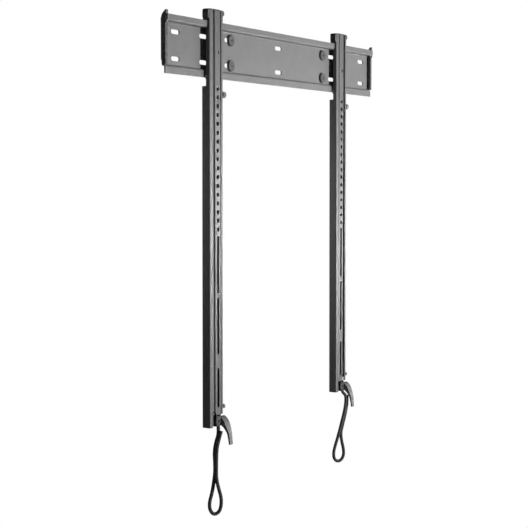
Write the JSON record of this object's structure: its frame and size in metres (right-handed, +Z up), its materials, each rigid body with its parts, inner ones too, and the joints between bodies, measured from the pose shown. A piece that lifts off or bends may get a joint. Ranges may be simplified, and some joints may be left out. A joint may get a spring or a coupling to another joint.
{
  "type": "fixed tv wall bracket",
  "caption": "Wall rail with two hanging uprights that carry a flat screen close to the wall, with latches, claw levers and pull cords with hand loops.",
  "frame": {"origin": "middle of the wall plate's rear face, on the wall", "axes": "+X to the right seen from the room, +Y into the wall, +Z up"},
  "size_m": [0.802, 0.0386, 0.9657],
  "materials": {
    "grey_coat": "satin powder coat",
    "lever_coat": "satin powder coat",
    "screw_coat": "satin",
    "black_cap": "fine matte texture",
    "zinc": "zinc plated",
    "cord": "braided"
  },
  "bodies": {
    "wall_rail": {"wall_plate": "grey_coat", "stop_screws": "screw_coat", "end_cap_left": "black_cap", "end_cap_right": "black_cap"},
    "upright_left": {"channel_left": "grey_coat", "strip_left": "grey_coat", "top_cap_left": "black_cap", "upper_block_left": "black_cap", "lower_block_left": "black_cap", "side_knob_left": "screw_coat", "side_bolt_left": "screw_coat", "latch_pin_left": "zinc", "latch_spring_left": "zinc", "lever_pin_left": "zinc"},
    "latch_left": {"latch_left": "zinc"},
    "pull_left": {"pull_rod_left": "zinc", "cord_clamp_left": "black_cap", "cord_left": "cord"},
    "lever_left": {"lever_left": "lever_coat"},
    "upright_right": {"channel_right": "grey_coat", "strip_right": "grey_coat", "top_cap_right": "black_cap", "upper_block_right": "black_cap", "lower_block_right": "black_cap", "side_knob_right": "screw_coat", "side_bolt_right": "screw_coat", "latch_pin_right": "zinc", "latch_spring_right": "zinc", "lever_pin_right": "zinc"},
    "latch_right": {"latch_right": "zinc"},
    "pull_right": {"pull_rod_right": "zinc", "cord_clamp_right": "black_cap", "cord_right": "cord"},
    "lever_right": {"lever_right": "lever_coat"}
  },
  "joints": [
    {"name": "rail_slide_left", "type": "slide", "parent": "wall_rail", "child": "upright_left", "axis": [1, 0, 0], "range_m": [-0.115, 0.03]},
    {"name": "pull_left", "type": "slide", "parent": "upright_left", "child": "pull_left", "axis": [-0.0021, 0, -1], "range_m": [0, 0.0066], "stiffness_N_per_m": 600, "springref_m": -0.01},
    {"name": "latch_turn_left", "type": "hinge", "parent": "upright_left", "child": "latch_left", "pos_m": [-0.2512, -0.0115, -0.05], "axis": [1, 0, -0.0021], "range_deg": [-40, 0]},
    {"name": "lever_turn_left", "type": "hinge", "parent": "upright_left", "child": "lever_left", "pos_m": [-0.23457, -0.009, -0.70404], "axis": [1, 0, -0.0021], "range_deg": [-25, 0]},
    {"name": "rail_slide_right", "type": "slide", "parent": "wall_rail", "child": "upright_right", "axis": [1, 0, 0], "range_m": [-0.024, 0.12]},
    {"name": "pull_right", "type": "slide", "parent": "upright_right", "child": "pull_right", "axis": [0.0044, 0, -1], "range_m": [0, 0.0066], "stiffness_N_per_m": 600, "springref_m": -0.01},
    {"name": "latch_turn_right", "type": "hinge", "parent": "upright_right", "child": "latch_right", "pos_m": [0.24042, -0.0115, -0.05], "axis": [1, 0, 0.0044], "range_deg": [-40, 0]},
    {"name": "lever_turn_right", "type": "hinge", "parent": "upright_right", "child": "lever_right", "pos_m": [0.26127, -0.009, -0.70391], "axis": [1, 0, 0.0044], "range_deg": [-25, 0]}
  ],
  "couplings": [
    {"joint": "latch_turn_left", "follows": "pull_left", "rad_per_m": -105},
    {"joint": "latch_turn_right", "follows": "pull_right", "rad_per_m": -105}
  ]
}
